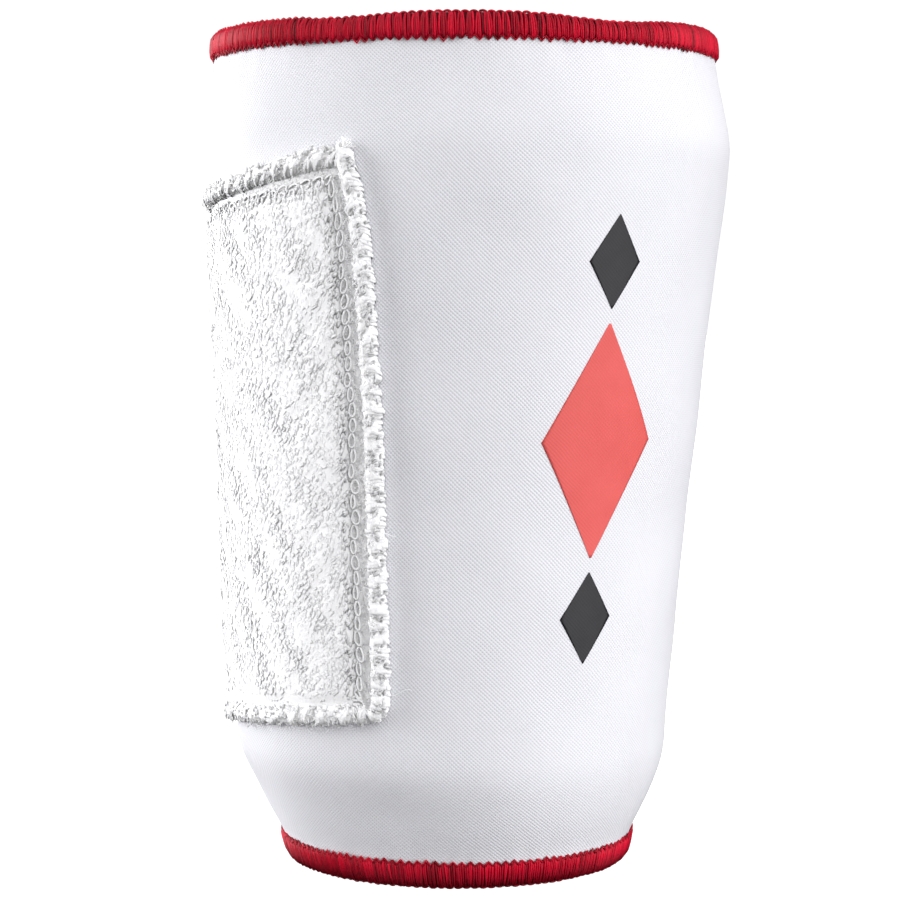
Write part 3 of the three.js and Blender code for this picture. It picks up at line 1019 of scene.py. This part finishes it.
HEM_SECTION = (
    # away from the patch's edge, as a share of the hem's width, and rise as a share of its height
    (0.10, 0.00),
    (0.03, 0.30),
    (0.07, 0.62),
    (0.24, 0.86),
    (0.48, 0.93),
    (0.72, 0.80),
    (0.92, 0.42),
    (0.94, 0.05),
    (0.50, 0.00),
)

STRAYS = (
    # height on the front edge, reach outwards, fall and radius, in millimetres
    (-18.4, 1.9, 1.0, 0.10),
    (-51.7, 4.3, -0.6, 0.11),
    (-55.7, 1.8, 1.8, 0.06),
    (30.0, 1.2, 0.4, 0.07),
)


class GUARD_OT_hem(bpy.types.Operator):
    """Sews the patch's hem: its roll, wraps, scalloped edge, chain stitch and fuzz"""

    bl_idname = "arm_guard.hem"
    bl_label = "Patch hem"

    def execute(self, context):
        sizes = settings().patch
        yarn = towel_material("Hem yarn")
        outline = Outline()
        random = np.random.default_rng(SEEDS["hem"])
        section = curve_through(HEM_SECTION, 16, closed=True)
        closed = np.concatenate((section, section[:1]))
        walk = np.linspace(0, 1, len(closed))
        lumps = [
            (random.integers(30, 140), random.normal(0, 2.5), random.uniform(0, 6.28)) for _ in range(16)
        ]

        def swell(along, inset):
            """The roll's lumps, which lie aslant over it."""
            turn = 2 * np.pi * along / outline.perimeter
            return 1 + 0.032 * sum(np.cos(n * turn + slant * inset + phase) for n, slant, phase in lumps)

        def stray(along):
            """How far the outer edge wanders inwards."""
            return (swell(along, 3.0) - 1) * 1.8 * MM + outline.tuck(along)

        def place(u, v):
            along = u * outline.perimeter
            inset, rise = np.interp(v, walk, closed[:, 0]), np.interp(v, walk, closed[:, 1])
            away = inset * outline.hem(along) + stray(along) * (1 - inset)
            return outline.place(along, away, rise * outline.rise(along) * swell(along, inset))

        mesh = cloth_mesh("hem_roll", 420, len(section), place, closed=True)
        even_shade(mesh, 1.0)
        new_piece("hem_roll", mesh, [yarn], "towelling_white", ["patch_hem"])

        # Wraps: broad soft yarn laid aslant over the roll from the valley to the edge.
        count = round(outline.perimeter / (0.62 * MM))
        over = curve_through(np.array(HEM_SECTION)[:8][::-1], 10)
        share = np.linspace(0, 1, len(over))
        slant = random.normal(1.7, 0.5, (count, 1)) * MM
        along = (np.arange(count)[:, None] + 0.5) * outline.perimeter / count
        along = along + slant * (share - 0.5) + random.normal(0, 0.12 * MM, (count, len(over)))
        inset = over[:, 0] + random.normal(0, 0.03, (count, 1))
        rise = over[:, 1] * outline.rise(along) * swell(along, inset) - 0.2 * MM
        rise = rise + random.normal(0, 0.05 * MM, (count, 1))
        rise = rise + random.normal(0, 0.05 * MM, (count, len(over)))
        away = inset * outline.hem(along) + stray(along) * (1 - inset)
        paths = outline.place(along, away, rise)
        radii = random.uniform(0.40, 0.62, (count, 1)) * random.uniform(0.8, 1.2, (count, len(over))) * MM
        outward, soft = outline.outward(along, away, paths)
        part = tubes(paths, radii, 5, outward, 0.4)
        parts, shades = [part], [shades_for(random.uniform(0.7, 1.0, count), part)]
        naps = [naps_for(soft, part)]

        # Scalloped thread along the lower edge.
        start, end = outline.walk[SCALLOP_START], outline.walk[SCALLOP_END]
        stitches = round((end - start) / (1.45 * MM))
        bow = np.linspace(0, 1, 7)
        along = start + (np.arange(stitches)[:, None] + bow * 1.1) * (end - start) / stitches
        depth = random.uniform(0.45, 0.95, (stitches, 1)) * MM
        away = 0.3 * MM - depth * np.sin(np.pi * bow) + stray(along)
        rise = 0.45 * MM + 0.3 * MM * np.cos(2 * np.pi * bow) + random.normal(0, 0.05 * MM, (stitches, 1))
        paths = outline.place(along, away, rise)
        part = tubes(paths, 0.22 * MM, 3, outline.place(along, away, rise + NUDGE) - paths)
        parts.append(part)
        shades.append(shades_for(random.uniform(0.7, 1.0, stitches), part))
        naps.append(np.zeros_like(part[0]))
        mesh = joined("hem_wraps", parts, shades, naps)
        new_piece("hem_wraps", mesh, [yarn], "towelling_white")

        # Chain stitch in the valley.
        links = round(outline.perimeter / (3.3 * MM))
        ring = np.linspace(0, 1, 11)
        reach = 0.92 * (1 - np.cos(2 * np.pi * ring)) / 2
        along = (np.arange(links)[:, None] + reach) * outline.perimeter / links
        bulge = 0.85 * MM * np.sin(2 * np.pi * ring) * (0.6 + 0.4 * np.cos(np.pi * (ring - 0.5)))
        bulge = bulge * random.uniform(0.6, 1.2, (links, 1))
        away = sizes.chain + bulge + random.normal(0, 0.2 * MM, (links, 1))
        rise = np.broadcast_to(1.25 * MM + 0.2 * MM * np.sin(np.pi * ring), away.shape)
        paths = outline.place(along, away, rise)
        radii = random.uniform(0.20, 0.32, (links, len(ring))) * MM
        lifted = outline.place(along, away, rise + NUDGE) - paths
        part = tubes(paths, radii, 4, lifted, 0.6)
        shades = [shades_for(random.uniform(0.7, 1.0, links), part)]
        mesh = joined("chain_stitch", [part], shades, [naps_for(lifted, part)])
        new_piece("chain_stitch", mesh, [yarn], "towelling_white")

        self.make_fuzz(outline, yarn)
        return {"FINISHED"}

    def make_fuzz(self, outline, yarn):
        """Short loops and fibres on the hem, a tuft at its top corner and stray threads at its edge."""
        sizes = settings().patch
        random = np.random.default_rng(SEEDS["fuzz"])
        top = curve_through(np.array(HEM_SECTION)[1:7], 20)

        def on_roll(along, inset):
            return np.interp(inset, top[:, 0], top[:, 1]) * outline.rise(along)

        # Short loops, and below as many loose fibres.
        count = 1500
        along, inset = random.uniform(0, outline.perimeter, count), random.uniform(0.08, 0.9, count)
        paths, radii = pile(
            outline.place, along, inset * outline.hem(along) + outline.tuck(along), on_roll(along, inset),
            lean=np.radians(random.normal(-130, 35, count)),
            reach=random.uniform(0.6, 1.4, count) * MM,
            width=random.uniform(0.25, 0.5, count) * MM,
            rise=random.uniform(0.05, 0.25, count) * MM,
            yarn=0.24 * MM, random=random,
        )
        outward, soft = outline.outward(along[:, None], (inset * outline.hem(along))[:, None], paths)
        part = tubes(paths, radii, 3, outward, 0.4)
        parts, shades = [part], [shades_for(random.uniform(0.7, 1.0, count), part)]
        naps = [naps_for(soft, part)]

        steps = np.linspace(0, 1, 4)
        along, inset = random.uniform(0, outline.perimeter, count), random.uniform(-0.05, 1.0, count)
        drift = random.normal(0, 0.8 * MM, (count, 2))
        curl = random.normal(0, 0.35 * MM, (count, 2))
        bend = np.sin(np.pi * steps)
        lift = random.uniform(0.2, 0.8, (count, 1)) * MM * np.sin(np.pi * steps * 0.8)
        paths = outline.place(
            along[:, None] + drift[:, :1] * steps + curl[:, :1] * bend,
            (inset * outline.hem(along))[:, None] + drift[:, 1:] * steps * 0.6 + curl[:, 1:] * bend,
            on_roll(along, inset)[:, None] + lift,
        )
        fibres = [(paths, np.linspace(0.06, 0.03, len(steps)))]

        # Stray threads along the front edge.
        steps = np.linspace(0, 1, 9)
        up, reach, fall, radius = np.array(STRAYS).T[:, :, None] * MM
        curl = random.normal(0, 0.25 * MM, up.shape) * np.sin(2 * np.pi * steps)
        along = outline.front(up) + fall * steps + curl
        away = 0.6 * MM - (reach + 0.6 * MM) * steps ** 0.9
        paths = outline.place(along, away, 0.5 * MM + 1.4 * MM * (1 - steps) ** 2)
        fibres.append((paths, radius / MM * np.linspace(1.0, 0.6, len(steps))))

        # The tuft at the upper front corner.
        count = 26
        foot = outline.walk[CORNER_TIP] + random.normal(0, 0.5 * MM, (count, 1))
        along = foot + random.normal(0, 0.5 * MM, (count, 1)) * steps
        away = 0.6 * MM - random.uniform(0.9, 1.9, (count, 1)) * MM * steps
        lift = (1.6 + random.normal(0, 0.4, (count, 1))) * MM * (1 - 0.5 * steps)
        paths = outline.place(along, away, lift)
        fibres.append((paths, np.linspace(0.13, 0.09, len(steps))))
        for paths, radii in fibres:
            part = tubes(paths, radii * MM, 3, random.normal(size=(len(paths), 1, 3)))
            parts.append(part)
            shades.append(np.full(len(part[0]), 0.95))
            naps.append(np.zeros_like(part[0]))
        mesh = joined("hem_fuzz", parts, shades, naps)
        new_piece("hem_fuzz", mesh, [yarn], "towelling_white")


# Prints


class GUARD_OT_prints(bpy.types.Operator):
    """Lays the column of three printed lozenges"""

    bl_idname = "arm_guard.prints"
    bl_label = "Prints"

    def execute(self, context):
        sizes = settings().prints
        coral = film_material("Coral transfer film", tuple(sizes.coral), (0.65, 0.09, 0.08))
        black = film_material("Black transfer film", tuple(sizes.black), (0.035, 0.032, 0.036))
        lift = (sizes.height + sizes.end_height) / 2 + sizes.spacing
        for name, width, height, up, film, slot in (
            ("print_centre", sizes.width, sizes.height, 0.0, coral, "print_coral"),
            ("print_upper", sizes.end_width, sizes.end_height, lift, black, "print_black"),
            ("print_lower", sizes.end_width, sizes.end_height, -lift, black, "print_black"),
        ):
            self.make_lozenge(name, width, height, up, film, slot)
        return {"FINISHED"}

    def make_lozenge(self, name, width, height, lift, film, slot):
        sizes = settings().prints
        middle = LENGTH * sizes.middle + lift
        radius = float(WALL.radius(middle))

        def spot(u, v):
            up = 2 * v - 1
            narrowing = 1 - 0.985 * np.abs(up)
            across = (2 * u - 1) * width / 2 * narrowing
            return sizes.bearing + np.degrees(across / radius), middle + up * height / 2

        def place(u, v):
            bearing, level = spot(u, v)
            return WALL.place(bearing, level, cloth_rise(bearing, level) + sizes.film)

        def flat(u, v):
            bearing, level = spot(u, v)
            return np.stack((np.radians(bearing) * WALL.radius(level), level), axis=1)

        columns, rows = max(8, round(width / (0.8 * MM))), 2 * round(height / (1.6 * MM))
        mesh = cloth_mesh(f"{name}_film", columns, rows, place, flat)
        piece = new_piece(f"{name}_film", mesh, [film], slot, [name])
        thicken(piece, sizes.film * 0.96)


# Back seam


class GUARD_OT_seam(bpy.types.Operator):
    """Closes the sleeve at the back with a flat zigzag seam"""

    bl_idname = "arm_guard.seam"
    bl_label = "Back seam"

    def execute(self, context):
        random = np.random.default_rng(SEEDS["seam"])
        pitch, half = 2.6 * MM, 1.9 * MM
        low, high = 6.2 * MM, LENGTH - 6.6 * MM
        count = round((high - low) / pitch)
        zig = np.linspace(0, 1, 9)
        rows = []
        for lean, lift in ((1, 0.30), (-1, 0.42)):
            height = low + (np.arange(count)[:, None] + zig) * (high - low) / count
            across = half * lean * np.clip(np.abs(4 * zig - 2) - 1, -1, 1)
            across = across + random.normal(0, 0.05 * MM, (count, 1))
            bearing = 180 + np.degrees(across / WALL.radius(height))
            depth = cloth_rise(bearing, height) + lift * MM - 0.25 * MM * (np.abs(across) / half) ** 4
            rows.append(WALL.place(bearing, height, depth))
        paths = np.concatenate(rows)
        part = tubes(paths, 0.2 * MM, 4, np.array((0.0, 1.0, 0.0)))
        mesh = joined("back_seam", [part], [shades_for(random.uniform(0.4, 0.9, len(paths)), part)])
        new_piece("back_seam", mesh, [towel_material("Seam thread", 0.74)], "knit_white")
        return {"FINISHED"}


# Stage


SIDE_LIGHTS = (
    # bearing, rise and spread in degrees, and strength
    (-98.5, 2.0, 41.0, 8.7),
    (48.0, 10.5, 66.0, 2.34),
)


class GUARD_OT_stage(bpy.types.Operator):
    """Sets the pale floor, the white backdrop, the soft light and the camera"""

    bl_idname = "arm_guard.stage"
    bl_label = "Floor, light and camera"

    def execute(self, context):
        scene = context.scene
        shape = bmesh.new()
        bmesh.ops.create_circle(shape, cap_ends=True, segments=96, radius=6.0)
        floor = self.add_stage("floor", shape, 0.92, 0.55)
        floor.location.z = -0.2 * MM
        shape = bmesh.new()
        bmesh.ops.create_uvsphere(shape, u_segments=48, v_segments=24, radius=6.0)
        bmesh.ops.reverse_faces(shape, faces=shape.faces)
        backdrop = self.add_stage("backdrop", shape, 1.05, 0.0)
        backdrop.visible_shadow = False

        camera_data = bpy.data.cameras.new("Camera")
        camera_data.sensor_width = 36.0
        camera_data.lens = 91.3
        camera_data.clip_start, camera_data.clip_end = 0.05, 20.0
        camera = bpy.data.objects.new("Camera", camera_data)
        camera.location = (-3.37 * MM, -502.9 * MM, 124.5 * MM)
        camera.rotation_euler = (math.radians(90 - 3.98), 0.0, 0.0)
        scene.collection.objects.link(camera)
        scene.camera = camera

        self.light_world(scene)
        scene.view_settings.view_transform = "Standard"
        scene.view_settings.look = "None"
        scene.view_settings.exposure = 0.0
        return {"FINISHED"}

    def add_stage(self, name, shape, glow, pale):
        mesh = bpy.data.meshes.new(name)
        shape.to_mesh(mesh)
        shape.free()
        piece = bpy.data.objects.new(name, mesh)
        bpy.context.scene.collection.objects.link(piece)
        material = bpy.data.materials.new(f"Pale {name}")
        material.use_nodes = True
        surface = material.node_tree.nodes["Principled BSDF"]
        surface.inputs["Base Color"].default_value = (pale, pale, pale, 1.0)
        surface.inputs["Roughness"].default_value = 1.0
        surface.inputs["Specular IOR Level"].default_value = 0.0
        surface.inputs["Emission Color"].default_value = (1.0, 1.0, 1.0, 1.0)
        surface.inputs["Emission Strength"].default_value = glow
        material.cycles.emission_sampling = "NONE"
        mesh.materials.append(material)
        for ray in ("diffuse", "glossy", "transmission", "volume_scatter"):
            setattr(piece, f"visible_{ray}", False)
        piece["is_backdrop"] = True
        return piece

    def light_world(self, scene):
        """Soft light that is strongest from both sides and weakest from the camera's side and below."""
        world = bpy.data.worlds.new("Soft studio")
        scene.world = world
        world.use_nodes = True
        sky = Nodes(world.node_tree)
        direction = sky.node("ShaderNodeTexCoord").outputs["Generated"]
        height = sky.node("ShaderNodeSeparateXYZ", {0: direction}).outputs[2]

        def soft(value, low, high, level):
            sockets = {0: value, 1: low, 2: high, 3: 0.0, 4: level}
            return sky.node("ShaderNodeMapRange", sockets, interpolation_type="SMOOTHSTEP").outputs[0]

        strength = sky.math("ADD", soft(height, -0.05, 1.6, 1.25), 0.01)
        for bearing, rise, spread, level in SIDE_LIGHTS:
            turn, lift = math.radians(bearing), math.radians(rise)
            axis = (math.sin(turn) * math.cos(lift), -math.cos(turn) * math.cos(lift), math.sin(lift))
            facing = sky.vector("DOT_PRODUCT", direction, axis)
            edge, full = math.cos(math.radians(spread)), math.cos(math.radians(spread * 0.35))
            strength = sky.math("ADD", strength, soft(facing, edge, full, level))
        background = sky.tree.nodes["Background"]
        sky.set(background, "Color", (0.985, 0.985, 1.0, 1.0))
        sky.set(background, "Strength", strength)


class GUARD_PT_panel(bpy.types.Panel):
    """Lists the guard's pieces"""

    bl_idname = "GUARD_PT_panel"
    bl_label = "Arm guard"
    bl_space_type = "VIEW_3D"
    bl_region_type = "UI"
    bl_category = "Arm guard"

    def draw(self, context):
        for operator in OPERATORS:
            self.layout.operator(operator.bl_idname)
        for group in ("knit", "edging", "patch", "prints"):
            box = self.layout.box()
            box.label(text=group.capitalize())
            sizes = getattr(context.scene.arm_guard, group)
            for name in sizes.bl_rna.properties.keys():
                if name not in ("rna_type", "name"):
                    box.prop(sizes, name)


OPERATORS = (
    GUARD_OT_sleeve, GUARD_OT_pad, GUARD_OT_edging, GUARD_OT_towelling, GUARD_OT_hem, GUARD_OT_prints,
    GUARD_OT_seam, GUARD_OT_stage,
)
GROUPS = (KnitSizes, EdgingSizes, PatchSizes, PrintSizes, GuardSettings)


def register():
    for item in (*GROUPS, *OPERATORS, GUARD_PT_panel):
        bpy.utils.register_class(item)
    bpy.types.Scene.arm_guard = PointerProperty(type=GuardSettings)


def unregister():
    del bpy.types.Scene.arm_guard
    for item in reversed((*GROUPS, *OPERATORS, GUARD_PT_panel)):
        bpy.utils.unregister_class(item)


def main():
    global WALL
    register()
    WALL = Wall()
    for operator in OPERATORS:
        group, name = operator.bl_idname.split(".")
        getattr(getattr(bpy.ops, group), name)()
    boxes = {"cad": CAD_BOX, "visual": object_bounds()}
    {name: [list(corner) for corner in box] for name, box in boxes.items()}


if __name__ == "__main__":
    main()
